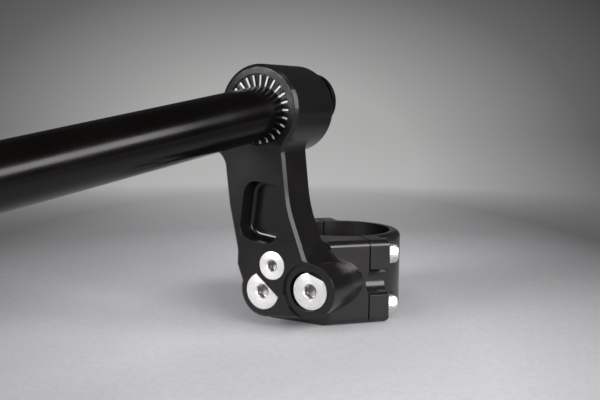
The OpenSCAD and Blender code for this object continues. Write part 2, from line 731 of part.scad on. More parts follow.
module bar_tube() {
    edge = 0.6;
    color([0.05, 0.05, 0.05]) along_bar(socket_depth - bar_l) rotate_extrude()
        polygon([[bar_bore_r, end_bore_l], [end_bore_r, end_bore_l], [end_bore_r, edge],
            [end_bore_r + edge, 0], [bar_r - edge, 0], [bar_r, edge],
            [bar_r, bar_l - edge], [bar_r - edge, bar_l], [bar_bore_r, bar_l]]);
}

module bar_plug() {
    color("dimgray") along_bar(socket_depth - plug_l) difference() {
        cylinder(r = bar_bore_r - sleeve_gap, h = plug_l - plug_back);
        translate([0, 0, -past]) cylinder(r = draw_r, h = plug_l + 2 * past);
    }
}

module draw_bolt() {
    head_edge = 0.5;
    color("silver") along_bar(draw_seat) difference() {
        rotate_extrude() polygon([[0, -draw_l], [draw_r - tap_gap - head_edge, -draw_l],
            [draw_r - tap_gap, head_edge - draw_l], [draw_r - tap_gap, 0], [draw_head_r, 0],
            [draw_head_r, draw_head_h - head_edge], [draw_head_r - head_edge, draw_head_h],
            [0, draw_head_h]]);
        translate([0, 0, draw_head_h / 2])
            cylinder(r = socket_hex_draw * hex_r, h = draw_head_h, $fn = 6);
    }
}

module draw_washer() {
    color("silver") along_bar(draw_seat - washer_t) difference() {
        cylinder(r = draw_head_r + hole_gap, h = washer_t);
        translate([0, 0, -past]) cylinder(r = draw_r + hole_gap / 2, h = washer_t + 2 * past);
    }
}

clamp_body();
clamp_cap();
clamp_screw(1, 1);  // front_upper_clamp_screw
clamp_screw(1, -1);  // front_lower_clamp_screw
clamp_screw(-1, 1);  // rear_upper_clamp_screw
clamp_screw(-1, -1);  // rear_lower_clamp_screw
riser_arm();
tilt_screw();
flat_sided_screw();
lock_screw();
pinch_bolt(pinch_y[0]);  // front_pinch_bolt
pinch_bolt(pinch_y[1]);  // rear_pinch_bolt
angle_bush();
graduation_marks();
bar_tube();
bar_plug();
draw_bolt();
draw_washer();
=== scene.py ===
# %% [markdown]
# # An adjustable clip-on handlebar
# A clip-on is half of a motorcycle's handlebar. A split clamp grips the fork tube, a flat riser
# arm is screwed to the clamp, and a graduated bush in the arm's boss holds a straight tube at a
# slant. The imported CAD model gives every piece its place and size, and this lesson gives the
# pieces their surfaces, finishes and light. All lengths in the file are metres, in the frame of
# the CAD: +Z up the fork tube, -Y out along the boss, +X forwards.

import bmesh
import bpy
import numpy as np
from mathutils import Matrix, Vector


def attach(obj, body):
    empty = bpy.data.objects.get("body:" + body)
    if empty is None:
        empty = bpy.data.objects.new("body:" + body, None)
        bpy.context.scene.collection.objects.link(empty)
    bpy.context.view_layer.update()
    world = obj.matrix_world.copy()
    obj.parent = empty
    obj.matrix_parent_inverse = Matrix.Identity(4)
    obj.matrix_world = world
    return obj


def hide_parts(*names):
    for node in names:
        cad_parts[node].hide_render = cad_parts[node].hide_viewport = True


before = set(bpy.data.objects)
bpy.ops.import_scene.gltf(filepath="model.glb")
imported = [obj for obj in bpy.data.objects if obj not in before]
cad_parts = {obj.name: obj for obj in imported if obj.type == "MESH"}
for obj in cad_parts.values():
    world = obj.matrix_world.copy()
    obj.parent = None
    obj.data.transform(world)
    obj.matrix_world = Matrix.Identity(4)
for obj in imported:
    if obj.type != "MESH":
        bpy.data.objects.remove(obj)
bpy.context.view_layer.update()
MM = 0.001

# %% [markdown]
# ## Surfaces from numpy
# A turned part, such as a screw or a tube, is one profile carried round an axis. It could be
# modelled with a screw modifier, but a grid of points worked out with numpy lets the radius
# change with the angle too. That gives hexagon sockets, flats and knurls in the same surface.

# %% A mesh from a grid of points
def grid_mesh(name, points):
    """Mesh of a grid of points, shape (rows, columns, 3). Each quad joins point (i, j) to its
    neighbours (i, j+1), (i+1, j+1) and (i+1, j); the columns wrap round, so the last one is next
    to the first."""
    rows, columns, _ = points.shape
    index = np.arange(rows * columns).reshape(rows, columns)
    here, below = index[:-1], index[1:]
    quads = np.stack([here, np.roll(here, -1, 1), np.roll(below, -1, 1), below], axis=-1)
    mesh = bpy.data.meshes.new(name)
    mesh.from_pydata(points.reshape(-1, 3).tolist(), [], quads.reshape(-1, 4).tolist())
    return mesh


def show(name, mesh, sharp_from=32):
    """An object of the mesh at the origin: points that coincide are joined, normals point
    outwards, and edges that turn by more than sharp_from degrees stay crisp."""
    work = bmesh.new()
    work.from_mesh(mesh)
    bmesh.ops.remove_doubles(work, verts=work.verts, dist=1e-7)
    bmesh.ops.recalc_face_normals(work, faces=work.faces)
    work.to_mesh(mesh)
    work.free()
    mesh.shade_smooth()
    mesh.set_sharp_from_angle(angle=np.radians(sharp_from))
    piece = bpy.data.objects.new(name, mesh)
    bpy.context.scene.collection.objects.link(piece)
    return piece


print("grid_mesh makes a mesh of a grid of points, and show puts it in the scene")

# %% [markdown]
# ## Turned surfaces
# A lathe leaves a small round or a broken edge at every corner, and a sharp corner in a render
# gives a part away as a drawing. So the corners of a profile are rounded first, each with a
# short curve, and only then is the profile carried round its axis. A bevel modifier could do
# the same, but it would round the hexagon of a socket as well.

# %% Profiles with rounded corners, and their turning
def rounded(corners, radius, steps=4):
    """Points along a profile whose inner corners are rounded: each corner becomes the curve
    (1-t)^2 a + 2 t (1-t) corner + t^2 b between points a and b that lie one radius from it, or
    less where the next corner is close."""
    corners = np.asarray(corners, float)
    before, here, after = corners[:-2], corners[1:-1], corners[2:]
    to_a, to_b = before - here, after - here
    length_a = np.linalg.norm(to_a, axis=1, keepdims=True)
    length_b = np.linalg.norm(to_b, axis=1, keepdims=True)
    a = here + to_a / length_a * np.minimum(radius, 0.45 * length_a)
    b = here + to_b / length_b * np.minimum(radius, 0.45 * length_b)
    t = np.linspace(0, 1, steps + 1)[None, :, None]
    curve = (1 - t) ** 2 * a[:, None] + 2 * t * (1 - t) * here[:, None] + t**2 * b[:, None]
    return np.vstack([corners[:1], curve.reshape(-1, 2), corners[-1:]])


def across(axis):
    """The axis as a unit direction and two more that are square to it: the first is level, and
    the second makes a right-handed set with it."""
    axis = np.asarray(axis, float) / np.linalg.norm(axis)
    level = np.cross(axis, [0, 0, 1]) if abs(axis[2]) < 0.9 else np.array([1.0, 0, 0])
    level = level / np.linalg.norm(level)
    return axis, level, np.cross(axis, level)


def turned(name, profile, centre, axis, angles, shape=None):
    """A surface of revolution: the grid point of profile row (r, t) and angle a is
    centre + t axis + r' (cos a u + sin a v), where u and v are square to the axis and
    r' = shape(row, r, a), or r itself."""
    profile = np.asarray(profile, float)
    axis, u, v = across(axis)
    r = np.repeat(profile[:, :1], len(angles), axis=1)
    if shape is not None:
        r = shape(np.arange(len(profile))[:, None], r, angles[None, :])
    ring = np.cos(angles)[:, None] * u + np.sin(angles)[:, None] * v
    points = np.asarray(centre) + profile[:, 1, None, None] * axis + r[..., None] * ring
    return grid_mesh(name, points)


def spread(steps, *extra):
    """Angles round a full turn in equal steps, with the extra angles added, in order."""
    even = np.linspace(0, 2 * np.pi, steps, endpoint=False)
    return np.unique(np.round(np.concatenate([even, np.ravel(extra) % (2 * np.pi)]), 7))


print("a corner rounded by 1 mm has", len(rounded([(0, 0), (5, 0), (5, 5)], 1)) - 2, "points")

# %% [markdown]
# ## Finishes
# A finish is a Principled shader fed by noise on Object coordinates. These are the CAD frame's
# own metres, so a pattern has a real size, and it keeps its place on a piece that moves. An
# image could be wrapped round the part, but noise needs no unwrapping and has no seam. Each
# node is added by a small helper, so that a finish reads as a few lines of what it does.

# %% Small helpers for shader nodes
def new_material(name, **values):
    """A material with one Principled shader whose sockets take the values given; an underscore
    in a name stands for a space."""
    material = bpy.data.materials.new(name)
    material.use_nodes = True
    shader = material.node_tree.nodes["Principled BSDF"]
    for socket, value in values.items():
        shader.inputs[socket.replace("_", " ")].default_value = value
    return material, material.node_tree, shader


def add(tree, kind, settings=None, **inputs):
    """A node of that kind. Each input is a value or another node's output socket, and its name
    is the socket's, or an underscore and the socket's number."""
    made = tree.nodes.new(kind)
    for key, value in (settings or {}).items():
        setattr(made, key, value)
    for key, value in inputs.items():
        socket = made.inputs[int(key[1:])] if key[0] == "_" else made.inputs[key.replace("_", " ")]
        if isinstance(value, bpy.types.NodeSocket):
            tree.links.new(value, socket)
        else:
            socket.default_value = value
    return made


def feed(tree, shader, **sources):
    """Links each source to the shader's socket of that name."""
    for socket, source in sources.items():
        tree.links.new(source, shader.inputs[socket.replace("_", " ")])


def place(tree):
    """Object coordinates: the point of the surface in the CAD's frame, in metres."""
    return add(tree, "ShaderNodeTexCoord").outputs["Object"]


def noise(tree, where, scale, detail=3.0, roughness=0.5):
    """Fractal noise with about `scale` lumps a metre, from 0 to 1."""
    return add(tree, "ShaderNodeTexNoise", Vector=where, Scale=scale, Detail=detail,
               Roughness=roughness).outputs["Fac"]


def number(tree, operation, a, b=0.0, c=0.0):
    """Arithmetic on up to three numbers."""
    return add(tree, "ShaderNodeMath", {"operation": operation}, _0=a, _1=b, _2=c).outputs[0]


def vector(tree, operation, a, b=(0, 0, 0), out="Vector"):
    """Arithmetic on one or two vectors. Lengths, distances and dot products come out as
    "Value"."""
    return add(tree, "ShaderNodeVectorMath", {"operation": operation}, _0=a,
               _1=tuple(b)).outputs[out]


def spread_to(tree, value, low, high, start=0.3, end=0.7):
    """The value's span start..end stretched to low..high, and held level outside it."""
    return add(tree, "ShaderNodeMapRange", Value=value, _1=start, _2=end, _3=low,
               _4=high).outputs[0]


def between(tree, factor, dark, light):
    """A colour that is dark where the factor is 0 and light where it is 1."""
    return add(tree, "ShaderNodeMix", {"data_type": "RGBA"}, Factor=factor, _6=(*dark, 1),
               _7=(*light, 1)).outputs[2]


def shaded(tree, colour, grey):
    """The colour times a number from 0 to 1."""
    return add(tree, "ShaderNodeMix", {"data_type": "RGBA", "blend_type": "MULTIPLY"},
               Factor=1.0, _6=colour, _7=grey).outputs[2]


def bump(tree, shader, height, distance, under=None):
    """Tilts the shader's normal as if height, 0 to 1, were `distance` metres of relief, on top
    of the normal under it."""
    made = add(tree, "ShaderNodeBump", Height=height, Distance=distance, Strength=1.0)
    if under is not None:
        tree.links.new(under, made.inputs["Normal"])
    feed(tree, shader, Normal=made.outputs["Normal"])
    return made.outputs["Normal"]


print("shader helpers ready")

# %% [markdown]
# ## Black anodised aluminium
# Black anodising is a thin hard glassy layer on blasted aluminium. It is almost black, but it
# reflects like a satin varnish, so its look comes from the light more than from its colour.
# A dark base under a coat could do it; one Principled shader with its index of refraction set
# is simpler. Noise in the roughness and a fine bump stand for the blasting.

# %% Two blacks, for the arm and for the clamp
def anodised(name, dark, light, rough_low, rough_high, ior, grain=2600, relief=6e-6):
    """Black anodising: colour drifts between dark and light with soft noise, roughness drifts
    between its limits, and grain lumps a metre of blasting stand relief metres high."""
    material, tree, shader = new_material(name, IOR=ior, Metallic=0.0)
    where = place(tree)
    drift = noise(tree, where, 70, 4)
    patches = number(tree, "MULTIPLY_ADD", noise(tree, where, 900, 2), 0.4, drift)
    feed(tree, shader, Base_Color=between(tree, drift, dark, light),
         Roughness=spread_to(tree, patches, rough_low, rough_high, 0.52, 0.86))
    bump(tree, shader, noise(tree, where, grain, 2, 0.6), relief)
    return material


arm_black = anodised("arm_black", (0.0045, 0.0040, 0.0043), (0.0110, 0.0100, 0.0106),
                     rough_low=0.15, rough_high=0.24, ior=1.40)
clamp_black = anodised("clamp_black", (0.0080, 0.0072, 0.0076), (0.0150, 0.0136, 0.0142),
                       rough_low=0.17, rough_high=0.27, ior=1.56)
print("anodised finishes:", arm_black.name, clamp_black.name)

# %% [markdown]
# ## The bar
# The tube is drawn and then anodised, so it carries faint lines along its length and shines
# more than the blasted parts. Its noise is stretched along the bar's own axis.

# %% The bar's axis and finish
BAR_AXIS = Vector((-0.173302376, -0.972913984, -0.152985836))
BAR_ROOT = Vector((-10.4, -57.0, 72.25)) * MM
BAR_R, BAR_WALL, BAR_LENGTH, SOCKET = 11.1 * MM, 3.0 * MM, 270 * MM, 13 * MM


def drawn_black():
    """Satin black with lines along the bar: coordinates are turned so that the bar runs along
    Z, and Z is then squeezed, which stretches the noise into lines."""
    material, tree, shader = new_material("bar_black", IOR=1.32)
    where = place(tree)
    upright = BAR_AXIS.to_track_quat("Z", "Y").inverted().to_euler()
    along_z = add(tree, "ShaderNodeMapping", Vector=where, Rotation=upright).outputs[0]
    squeezed = add(tree, "ShaderNodeMapping", Vector=along_z, Scale=(1, 1, 0.03)).outputs[0]
    drift = noise(tree, where, 45, 4)
    feed(tree, shader, Roughness=spread_to(tree, drift, 0.17, 0.25),
         Base_Color=between(tree, drift, (0.0014, 0.0011, 0.0009), (0.0032, 0.0025, 0.0022)))
    bump(tree, shader, noise(tree, squeezed, 1500, 4, 0.6), 2.5e-6)
    return material


bar_black = drawn_black()
print("bar finish:", bar_black.name)

# %% The tube as one turned surface
LIP, END_BORE, END_STEP = 0.7 * MM, 30 * MM, 0.5 * MM
bore_r = BAR_R - BAR_WALL
end_r, end_at = bore_r + END_STEP, BAR_LENGTH - END_BORE
tube_profile = rounded([
    (bore_r, end_at / 2), (bore_r, 0), (BAR_R, 0), (BAR_R, BAR_LENGTH), (end_r, BAR_LENGTH),
    (end_r, end_at), (bore_r, end_at), (bore_r, end_at / 2)], LIP, 5)
bar = show("bar_surface", turned(
    "bar_surface", tube_profile, BAR_ROOT - SOCKET * BAR_AXIS, BAR_AXIS, spread(160)))
bar.data.materials.append(bar_black)
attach(bar, "bar")
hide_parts("bar_tube")
print("bar: faces", len(bar.data.polygons))

# %% [markdown]
# ## Zinc plating
# Zinc is a pale metal with fine rings left by the lathe and a grain like fine sand. The rings
# could be drawn by hand, but the distance from the screw's axis gives them at once, and the
# same distance tells where the socket is, whose hollow is painted darker: painted shade, with oil
# and grime.

# %% Zinc finish with turning rings
def lathe_rings(tree, where, centre, axis, ring):
    """Marks of a lathe: the cross product of the offset from the centre and the axis runs round
    the axis, its length is the distance from the axis, and the rings, `ring` metres apart, are
    a sine of that distance."""
    around = vector(tree, "CROSS_PRODUCT", vector(tree, "SUBTRACT", where, centre), axis)
    far = vector(tree, "LENGTH", around, out="Value")
    return around, far, number(tree, "SINE", number(tree, "MULTIPLY", far, 2 * np.pi / ring))


def zinc(name, centre, axis, rough=(0.32, 0.46), tint=0.88, socket=0.0):
    """Bright zinc: noise as fine as sand drifts round the tint, over a lathe's rings. Within the
    socket's width the metal is darkened: painted shade in the socket's hollow, with grime."""
    material, tree, shader = new_material(name, Metallic=1.0)
    where = place(tree)
    _, far, rings = lathe_rings(tree, where, centre, axis, 0.22 * MM)
    sand = noise(tree, where, 1200, 4, 0.7)
    metal = between(tree, sand, (tint * 0.66, tint * 0.66, tint * 0.64),
                    (tint * 1.13, tint * 1.13, tint * 1.11))
    # Painted shade with grime: within the socket's width the colour falls to 0.22 of the metal's.
    socket_shade_and_grime = spread_to(tree, far, 0.22, 1.0, socket * 0.46, socket * 0.55 + 1e-6)
    feed(tree, shader, Base_Color=shaded(tree, metal, socket_shade_and_grime),
         Roughness=spread_to(tree, sand, *rough))
    grain = bump(tree, shader, noise(tree, where, 2200, 2), 3e-6)
    bump(tree, shader, rings, 5e-6, under=grain)
    return material


print("zinc is made anew for each screw, because its rings need the screw's own axis")

# %% [markdown]
# ## Screws in the arm
# A screw is turned, and its socket is broached. Here both are one surface: the profile runs
# from the tip up the shank, over the head and down into the socket, and the radius of the
# socket's rows is that of a hexagon. The flat-sided screws also cut the head's rows off at a
# straight line. Cutting the socket with a boolean would work too, but it leaves long thin
# faces that shade badly.

# %% Hexagons, flats and sockets
def hexagon(angle, width):
    """Radius of a hexagon of that width across its flats: half the width over the cosine of the
    angle to the nearest flat's middle."""
    return width / 2 / np.cos((angle + np.pi / 6) % (np.pi / 3) - np.pi / 6)


def flatted(angle, radius, cut, toward):
    """Radius of a circle with one straight side at distance cut, square to the direction
    `toward`."""
    lean = np.cos(angle - toward)
    return np.where(lean > 0, np.minimum(radius, cut / np.maximum(lean, 1e-3)), radius)


def socket_profile(width, top, floor):
    """Rows of a socket from its chamfered mouth, at height top, down its wall to the floor and
    the drill's cone; also the radius of the mouth and that of the wall's rows."""
    mouth = width / 2 * 1.16
    wall = mouth * 0.86
    rows = [(mouth, top - 0.30 * MM), (wall, top - 0.55 * MM), (wall, floor),
            (mouth * 0.3, floor - 0.3 * MM), (0, floor - 0.5 * MM)]
    return rows, mouth, wall


print("hexagon 5 mm wide reaches", round(float(hexagon(np.array(np.pi / 6), 5)), 3), "mm")

# %% The three screws in the arm
OUT = np.array([0.0, -1.0, 0.0])
ARM_FACE, ARM_SCREW_TIP = -57.0 * MM, -26.4 * MM
ARM_RIM = 0.32 * MM


def arm_screw(node, x, z, head_y, head_r, head_h, shank_r, socket, cut=None, toward=0.0,
              cone=False):
    """A flat-headed screw whose profile is drawn as (radius, distance out of the arm): tip,
    shank, underside, rim, face and socket. With a cut, the head has a flat side at that
    distance from the axis, and with cone, its underside is countersunk."""
    centre = np.array([x * MM, head_y, z * MM])
    deep = head_y - ARM_SCREW_TIP
    socket_rows, mouth, wall = socket_profile(socket, 0.0, -3.0 * MM)
    under = [(shank_r, shank_r - head_r), (head_r, -1.2 * ARM_RIM)] if cone else [
        (shank_r, -head_h), (head_r, -head_h)]
    outside = rounded([(0, deep), (shank_r - 0.6 * MM, deep), (shank_r, deep + 0.6 * MM), *under,
                       (head_r, 0), (mouth + 0.25 * MM, 0)], ARM_RIM, 4)
    profile = np.vstack([outside, socket_rows])
    first = len(outside)

    def shape(row, r, a):
        flat = flatted(a, r, cut, toward) if cut else r
        shank = (profile[:, 1] < -head_h - 1e-6)[:, None] & (row < first)
        return np.where(row > first, hexagon(a, socket) * r / wall, np.where(shank, r, flat))

    corners = [] if not cut else [toward + s * np.arccos(cut / head_r) for s in (-1, 1)]
    angles = spread(144, corners)
    piece = show(node + "_surface", turned(node, profile, centre, OUT, angles, shape), 28)
    piece.data.materials.append(zinc("zinc_" + node, centre, OUT, socket=socket))
    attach(piece, "bracket")
    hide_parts(node)
    return piece


def up_from_forwards(degrees):
    """A direction on the arm's face, up from forwards, as an angle of the screw's grid. The
    first direction square to -Y is -X, so forwards is at 180 degrees."""
    return np.radians(180 + degrees)


tilt_screw = arm_screw("tilt_screw", 14.3, 0.2, ARM_FACE + 1.5 * MM, 7.8 * MM, 4.4 * MM,
                       3.95 * MM, 5.1 * MM, cut=6.7 * MM, toward=up_from_forwards(70))
flat_screw = arm_screw("flat_sided_screw", -7.6, -1.9, ARM_FACE, 7.8 * MM, 4.4 * MM,
                       3.95 * MM, 5.1 * MM, cut=3.5 * MM, toward=up_from_forwards(50))
lock_screw = arm_screw("lock_screw", -3.1, 9.4, ARM_FACE, 6.0 * MM, 3.4 * MM,
                       2.95 * MM, 4.1 * MM, cone=True)
print("arm screws:", tilt_screw.name, flat_screw.name, lock_screw.name)

# %% [markdown]
# ## Socket-head cap screws
# The clamp's four screws, the two pinch bolts and the draw bolt are all of one kind: a round
# knurled head with a hexagon socket. One function makes them all, with its sizes as arguments.

# %% One cap screw
def cap_screw(node, body, seat, axis, head_r, head_h, shank_r, length, socket, knurl=36):
    """A cap screw that sits at `seat` and whose head points along the axis. The head's side rows
    carry a knurl: the radius ripples inwards by 0.09 mm with |sin| of the angle."""
    edge = 0.5 * MM
    socket_rows, mouth, wall = socket_profile(socket, head_h, head_h * 0.45)
    outside = rounded([(0, -length), (shank_r - edge, -length), (shank_r, edge - length),
                       (shank_r, 0), (head_r, 0), (head_r, 0.25 * head_h), (head_r, 0.8 * head_h),
                       (head_r, head_h - edge), (head_r - edge, head_h),
                       (mouth + 0.3 * MM, head_h)], 0.2 * MM, 3)
    profile = np.vstack([outside, socket_rows])
    first = len(outside)
    on_side = (profile[:, 0] > head_r - 1e-9) & (profile[:, 1] > 0.2 * head_h)
    on_side &= profile[:, 1] < 0.85 * head_h

    def shape(row, r, a):
        ripple = 0.09 * MM * (1 - np.abs(np.sin(a * knurl / 2)))
        head = np.where(on_side[:, None], r - ripple, r)
        return np.where(row > first, hexagon(a, socket) * r / wall, head)

    piece = show(node + "_surface",
                 turned(node, profile, seat, axis, spread(knurl * 6), shape), 30)
    piece.data.materials.append(zinc("zinc_" + node, seat, axis, (0.22, 0.36), socket=socket))
    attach(piece, body)
    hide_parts(node)
    return piece


M6 = {"head_r": 4.95 * MM, "head_h": 6 * MM, "shank_r": 2.95 * MM, "socket": 5.1 * MM}
print("an M6 head is", round(2 * M6["head_r"] / MM, 2), "mm across")

# %% Screws of the clamp and of the boss's lug
CLAMP_TURN = np.radians(42.8)
SCREW_OUT, EAR_FACE, SCREW_RISE = 28.8, 9.3, 11.4
forward = np.array([np.cos(CLAMP_TURN), -np.sin(CLAMP_TURN), 0])
along = np.array([np.sin(CLAMP_TURN), np.cos(CLAMP_TURN), 0])
for end, ahead in (("front", 1), ("rear", -1)):
    for level, up in (("upper", 1), ("lower", -1)):
        seat = (ahead * SCREW_OUT * forward + EAR_FACE * along + [0, 0, up * SCREW_RISE]) * MM
        cap_screw(f"{end}_{level}_clamp_screw", "bracket", seat, along,
                          length=23.3 * MM, **M6)

BOSS = Vector((-10.4, -57.0, 73.9)) * MM
BOSS_L, PINCH_X, PINCH_SEAT_Z = 33.4 * MM, -33.2 * MM, 72.2 * MM
for end, share in (("front", 0.27), ("rear", 0.73)):
    seat = np.array([PINCH_X, BOSS.y + BOSS_L * share, PINCH_SEAT_Z])
    cap_screw(f"{end}_pinch_bolt", "bracket", seat, np.array([0, 0, 1.0]),
                      length=14.7 * MM, **M6)
print("cap screws made for the clamp and the lug")

# %% The bolt that draws the bar into the bush
NOSE_REACH, DRAW_SINK = 5.2 * MM, 5.6 * MM
nose = BOSS_L / -BAR_AXIS.y + NOSE_REACH
bolt_seat = np.array(BAR_ROOT - BAR_AXIS * (nose - DRAW_SINK))
cap_screw("draw_bolt", "bar", bolt_seat, -np.array(BAR_AXIS), 6.5 * MM, 5 * MM,
                  3.95 * MM, 40.6 * MM, 6.1 * MM)
print("draw bolt seat", np.round(bolt_seat / MM, 2))

# %% [markdown]
# ## Milled parts
# The clamp and the arm come from the CAD as loose triangles with knife-sharp edges. A real
# edge is broken with a file or a tumbler, and that thin round is what catches the light. A copy
# of the CAD mesh is welded, its flat triangles are paired into quads, and a narrow bevel rounds
# the edges. Dissolving each flat side into one big face looks tidier, but a face with holes and
# inward curves can be cut up wrongly when it is drawn; quads can't. Weighted normals keep the
# big faces flat beside the small rounds.

# %% A finished copy of a CAD node
def quad_mesh(node, angle):
    """A welded copy of the node's mesh, with pairs of triangles in one plane made into quads.
    An edge is marked for the bevel where its faces turn by more than `angle` degrees. An edge
    of a step lower than a twelfth of a millimetre is left out, so that no groove shows there;
    the step's height is the face's area over its longest edge."""
    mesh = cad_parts[node].data.copy()
    mesh.materials.clear()
    work = bmesh.new()
    work.from_mesh(mesh)
    bmesh.ops.remove_doubles(work, verts=work.verts, dist=3e-6)
    bmesh.ops.dissolve_degenerate(work, edges=work.edges, dist=3e-6)
    bmesh.ops.join_triangles(work, faces=work.faces, angle_face_threshold=np.radians(0.6),
                             angle_shape_threshold=np.radians(60))
    bevels = work.edges.layers.float.new("bevel_weight_edge")
    for edge in work.edges:
        steps = [face.calc_area() / max(side.calc_length() for side in face.edges)
                 for face in edge.link_faces]
        turns = edge.calc_face_angle(0.0) > np.radians(angle)
        edge[bevels] = float(turns and min(steps) > MM / 12)
    work.to_mesh(mesh)
    work.free()
    return mesh


def finished(node, body, width, material, segments=2, angle=26):
    """The node's quads with their marked edges rounded over `width` metres, and the normals of
    the big faces kept flat, as one plain mesh."""
    mesh = quad_mesh(node, angle)
    rough = bpy.data.objects.new(node + "_rough", mesh)
    bpy.context.scene.collection.objects.link(rough)
    if width:
        rounder = rough.modifiers.new("edge", "BEVEL")
        rounder.width, rounder.segments = width, segments
        rounder.limit_method = "WEIGHT"
        rounder.use_clamp_overlap = False
        rounder.miter_outer = "MITER_ARC"
    mesh.shade_smooth()
    mesh.set_sharp_from_angle(angle=np.radians(40))
    normals = rough.modifiers.new("normals", "WEIGHTED_NORMAL")
    normals.keep_sharp, normals.weight = True, 80
    bpy.context.view_layer.update()
    graph = bpy.context.evaluated_depsgraph_get()
    baked = bpy.data.meshes.new_from_object(rough.evaluated_get(graph), depsgraph=graph,
                                            preserve_all_data_layers=True)
    bpy.data.objects.remove(rough)
    baked.materials.clear()
    baked.materials.append(material)
    piece = bpy.data.objects.new(node + "_surface", baked)
    bpy.context.scene.collection.objects.link(piece)
    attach(piece, body)
    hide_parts(node)
    return piece


print("finished rounds the edges of a CAD node's copy")

# %% Clamp and arm
clamp_body = finished("clamp_body", "bracket", 0.22 * MM, clamp_black)
clamp_cap = finished("clamp_cap", "bracket", 0.22 * MM, clamp_black)
arm = finished("riser_arm", "bracket", 0.16 * MM, arm_black)
print("faces:", len(clamp_body.data.polygons), len(clamp_cap.data.polygons),
      len(arm.data.polygons))

# %% [markdown]
# ## The graduated bush
# The bush is turned, anodised and then engraved, and the marks are filled with white paint.
# Its face keeps the lathe's rings, so it shines in a bow-tie: bright where the rings run
# across the line to the light. Anisotropic roughness does that when its tangent runs round the
# boss's axis.

# %% Turned black with rings round the boss's axis
def turned_black():
    """Black anodising over a lathe's rings: the tangent runs round the boss's axis, so the shine
    is stretched across the rings."""
    material, tree, shader = new_material("turned_black", IOR=1.3, Anisotropic=0.6)
    where = place(tree)
    around, _, rings = lathe_rings(tree, where, BOSS, (0, 1, 0), 0.35 * MM)
    drift = noise(tree, where, 160, 3)
    feed(tree, shader, Tangent=around, Roughness=spread_to(tree, drift, 0.20, 0.30),
         Base_Color=between(tree, drift, (0.0018, 0.0016, 0.0015), (0.0040, 0.0036, 0.0034)))
    bump(tree, shader, rings, 2e-6)
    return material


bush = finished("angle_bush", "bar", 0.12 * MM, turned_black())
print("bush faces", len(bush.data.polygons))

# %% [markdown]
# ## Paint in the marks
# Each mark is an engraved slot that is filled with enamel and wiped. The CAD has the paint as
# solids in the slots, so it needs no mask on the bush's own surface, and it turns with the bush.

# %% White paint in the marks
def paint():
    """White enamel: nearly even, with soft blotches and a little dirt towards grey."""
    material, tree, shader = new_material("mark_paint", Roughness=0.42)
    blotch = noise(tree, place(tree), 1400, 3)
    feed(tree, shader, Base_Color=between(tree, blotch, (0.44, 0.44, 0.44), (0.62, 0.62, 0.62)))
    bump(tree, shader, blotch, 8e-6)
    return material


marks = finished("graduation_marks", "bar", 0.0, paint())
print("marks:", len(marks.data.polygons), "faces")

# %% [markdown]
# ## Inside the bar
# The threaded plug in the bar's root and the draw bolt's washer are plain turned metal. They are
# hidden when the part is together, and show when someone takes it apart, so they get the same
# narrow rounds and a greyer, smoother version of the zinc finish.

# %% Plug and washer
plug_metal = zinc("plug_metal", BAR_ROOT, BAR_AXIS, rough=(0.25, 0.4), tint=0.6)
plug = finished("bar_plug", "bar", 0.1 * MM, plug_metal)
washer = finished("draw_washer", "bar", 0.1 * MM, plug_metal)
print("inner parts:", plug.name, washer.name)

# %% [markdown]
# ## Studio paper
# The photograph stands the part on pale paper that curves up behind it and falls off into
# grey. A sheet with one bend would do for the front, but a bowl of paper makes the floor and
# the wall on every side, so the part can be looked at from anywhere.

# %% Paper bowl
FLOOR_Z = -18.25 * MM
BOWL_R, BEND_R, WALL_TOP = 3.0, 0.9, 2.6


def bowl_mesh():
    """Floor, bend and wall as one turned surface: the profile's height is zero out to
    BOWL_R - BEND_R, then BEND_R (1 - cos b) while the bend angle b goes to 90 degrees."""
    bend = np.linspace(0, np.pi / 2, 25)
    out = np.concatenate([[0.0, 0.3, 0.8, 1.4], BOWL_R + BEND_R * (np.sin(bend) - 1), [BOWL_R]])
    high = np.concatenate([np.zeros(4), BEND_R * (1 - np.cos(bend)), [WALL_TOP]])
    return turned("paper", np.stack([out, high], 1), (0, 0, FLOOR_Z), (0, 0, 1), spread(128))


paper = show("paper", bowl_mesh())
print("paper:", len(paper.data.polygons), "faces")

# %% [markdown]
# ## Light on the paper
# In the photograph the paper is brightest in a pool round the part and in a soft glow on the
# wall behind it. Real lamps could paint both, but each one would also change the light on the
# part. So the lamps are kept for the part, the pool is a darkening of the paper outside it,
# and the glow is an emission that only the camera and mirror-like reflections see.

# %% The pool and the glow
VIEW = np.radians([29.20, 6.87, 0.715])  # the photograph's azimuth, elevation and roll
STAND = np.array([183.625, -367.629, 80.698]) * MM  # where the photographer stood
AWAY = np.array([-np.sin(VIEW[0] + 0.03), np.cos(VIEW[0] + 0.03), 0])  # towards the glow
SIDE = np.array([AWAY[1], -AWAY[0], 0])
POOL, POOL_ACROSS, POOL_ALONG = np.array([10.0, -40.0, -18.25]) * MM, 0.19, 0.45
GLOW_RISE, GLOW_ACROSS, GLOW_TALL = -0.085, 0.32, 0.20
GLOW_EDGE, GLOW_REACH = 1.42, 4.0
GLOW = [(0.0, 0.42), (0.3, 0.40), (0.5, 0.37), (0.7, 0.275), (0.9, 0.185), (1.1, 0.10),
        (GLOW_EDGE, 0.03), (1.7, 0.07), (2.4, 0.12), (GLOW_REACH, 0.14)]
GLOW_FADE = (0.25, 0.56)  # distances from the part between which the glow comes in


